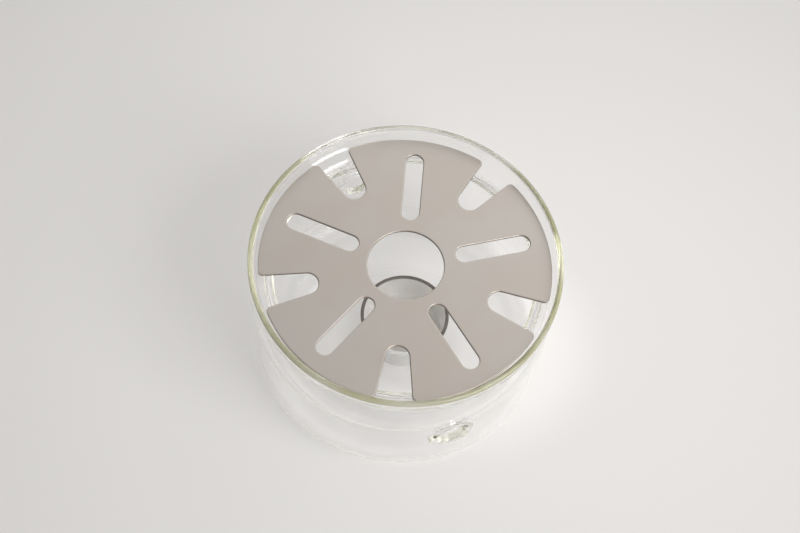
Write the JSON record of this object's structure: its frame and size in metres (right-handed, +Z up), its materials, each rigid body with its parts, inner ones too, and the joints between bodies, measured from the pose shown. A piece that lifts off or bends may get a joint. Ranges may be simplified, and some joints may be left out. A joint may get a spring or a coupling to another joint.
{
  "type": "teapot warmer",
  "caption": "Waisted clear glass warmer with round air vents, a slotted round steel plate that drops in below the rim to carry a teapot, and a loose steel cup for a tealight.",
  "frame": {"origin": "middle of the glass's foot, on the surface that it stands on", "axes": "+Z up along the glass's axis; the air vents face -Y and +Y"},
  "size_m": [0.1496, 0.1496, 0.083],
  "materials": {
    "clear_glass": "clear and fire-polished, with a faint olive tint through its edges",
    "plate_steel": "satin, warm grey",
    "cup_steel": "satin, turned"
  },
  "bodies": {
    "glass": {"glass_body": "clear_glass"},
    "plate": {"trivet_plate": "plate_steel"},
    "cup": {"tealight_cup": "cup_steel"}
  },
  "joints": [
    {"name": "plate_lift", "type": "slide", "parent": "glass", "child": "plate", "axis": [0, 0, 1], "range_m": [0, 0.06]},
    {"name": "cup_lift", "type": "slide", "parent": "glass", "child": "cup", "axis": [0, 0, 1], "range_m": [0, 0.05]}
  ]
}
